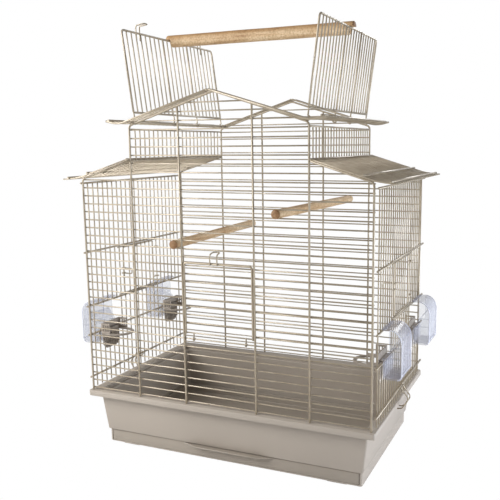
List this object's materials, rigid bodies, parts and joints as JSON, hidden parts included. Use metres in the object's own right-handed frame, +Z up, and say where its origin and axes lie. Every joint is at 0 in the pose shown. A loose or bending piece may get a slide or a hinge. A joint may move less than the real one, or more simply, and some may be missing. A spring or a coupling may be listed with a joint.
{
  "type": "bird cage with playtop roof",
  "caption": "Tiered wire bird cage on a moulded base, its roof wings open as a playtop with a wooden perch.",
  "frame": {"origin": "on the floor under the middle of the cage", "axes": "+X to the right seen from the front, +Y to the back, +Z up"},
  "size_m": [0.519, 0.315, 0.645],
  "materials": {
    "wire_paint": "satin champagne enamel",
    "base_plastic": "satin moulding",
    "holder_plastic": "satin moulding",
    "clear_plastic": "clear, faint violet tint",
    "perch_wood": "plain sanded"
  },
  "bodies": {
    "cage": {"base_tray": "base_plastic", "front_panel": "wire_paint", "back_panel": "wire_paint", "left_side_panel": "wire_paint", "left_upper_panel": "wire_paint", "left_lower_roof": "wire_paint", "left_upper_roof": "wire_paint", "left_perch": "perch_wood", "left_front_feeder_holder": "holder_plastic", "left_rear_feeder_holder": "holder_plastic", "right_side_panel": "wire_paint", "right_upper_panel": "wire_paint", "right_lower_roof": "wire_paint", "right_upper_roof": "wire_paint", "right_perch": "perch_wood", "right_front_feeder_holder": "holder_plastic", "right_rear_feeder_holder": "holder_plastic"},
    "litter_drawer": {"litter_drawer": "base_plastic"},
    "front_door": {"front_door": "wire_paint"},
    "left_side_door": {"left_side_door": "wire_paint"},
    "left_door_latch": {"left_door_latch": "wire_paint"},
    "left_roof_wing": {"left_roof_wing": "wire_paint"},
    "left_tray_clip": {"left_tray_clip": "wire_paint"},
    "left_front_feeder_hood": {"left_front_feeder_hood": "clear_plastic"},
    "left_rear_feeder_hood": {"left_rear_feeder_hood": "clear_plastic"},
    "right_side_door": {"right_side_door": "wire_paint"},
    "right_door_latch": {"right_door_latch": "wire_paint"},
    "right_roof_wing": {"right_roof_wing": "wire_paint"},
    "right_tray_clip": {"right_tray_clip": "wire_paint"},
    "right_front_feeder_hood": {"right_front_feeder_hood": "clear_plastic"},
    "right_rear_feeder_hood": {"right_rear_feeder_hood": "clear_plastic"},
    "roof_perch": {"roof_perch": "perch_wood"}
  },
  "joints": [
    {"name": "litter_drawer_slide", "type": "slide", "parent": "cage", "child": "litter_drawer", "axis": [0, -1, 0], "range_m": [0, 0.2]},
    {"name": "front_door_hinge", "type": "hinge", "parent": "cage", "child": "front_door", "pos_m": [0, -0.138, 0.19], "axis": [1, 0, 0], "range_deg": [0, 150]},
    {"name": "left_side_door_hinge", "type": "hinge", "parent": "cage", "child": "left_side_door", "pos_m": [-0.2283, 0.054, 0.264], "axis": [0, 0, -1], "range_deg": [0, 95]},
    {"name": "left_door_latch_swing", "type": "hinge", "parent": "left_side_door", "child": "left_door_latch", "pos_m": [-0.2283, -0.0435, 0.264], "axis": [0, 0, 1], "range_deg": [-70, 70]},
    {"name": "left_roof_wing_hinge", "type": "hinge", "parent": "cage", "child": "left_roof_wing", "pos_m": [-0.133, 0, 0.50153], "axis": [0, 1, 0], "range_deg": [0, 80]},
    {"name": "left_tray_clip_swing", "type": "hinge", "parent": "cage", "child": "left_tray_clip", "pos_m": [-0.2311, -0.006, 0.109], "axis": [0, 1, 0], "range_deg": [0, 100]},
    {"name": "left_front_feeder_slide", "type": "slide", "parent": "cage", "child": "left_front_feeder_hood", "axis": [-1, 0, 0], "range_m": [0, 0.06]},
    {"name": "left_rear_feeder_slide", "type": "slide", "parent": "cage", "child": "left_rear_feeder_hood", "axis": [-1, 0, 0], "range_m": [0, 0.06]},
    {"name": "right_side_door_hinge", "type": "hinge", "parent": "cage", "child": "right_side_door", "pos_m": [0.2283, 0.054, 0.264], "axis": [0, 0, 1], "range_deg": [0, 95]},
    {"name": "right_door_latch_swing", "type": "hinge", "parent": "right_side_door", "child": "right_door_latch", "pos_m": [0.2283, -0.0435, 0.264], "axis": [0, 0, 1], "range_deg": [-70, 70]},
    {"name": "right_roof_wing_hinge", "type": "hinge", "parent": "cage", "child": "right_roof_wing", "pos_m": [0.133, 0, 0.50153], "axis": [0, -1, 0], "range_deg": [0, 80]},
    {"name": "right_tray_clip_swing", "type": "hinge", "parent": "cage", "child": "right_tray_clip", "pos_m": [0.2311, -0.006, 0.109], "axis": [0, -1, 0], "range_deg": [0, 100]},
    {"name": "right_front_feeder_slide", "type": "slide", "parent": "cage", "child": "right_front_feeder_hood", "axis": [1, 0, 0], "range_m": [0, 0.06]},
    {"name": "right_rear_feeder_slide", "type": "slide", "parent": "cage", "child": "right_rear_feeder_hood", "axis": [1, 0, 0], "range_m": [0, 0.06]},
    {"name": "roof_perch_lift", "type": "slide", "parent": "cage", "child": "roof_perch", "axis": [0, 0, 1], "range_m": [0, 0.4]}
  ],
  "couplings": [
    {"joint": "right_roof_wing_hinge", "follows": "left_roof_wing_hinge", "ratio": 1},
    {"joint": "roof_perch_lift", "follows": "left_roof_wing_hinge", "m_per_rad": 0.285}
  ]
}
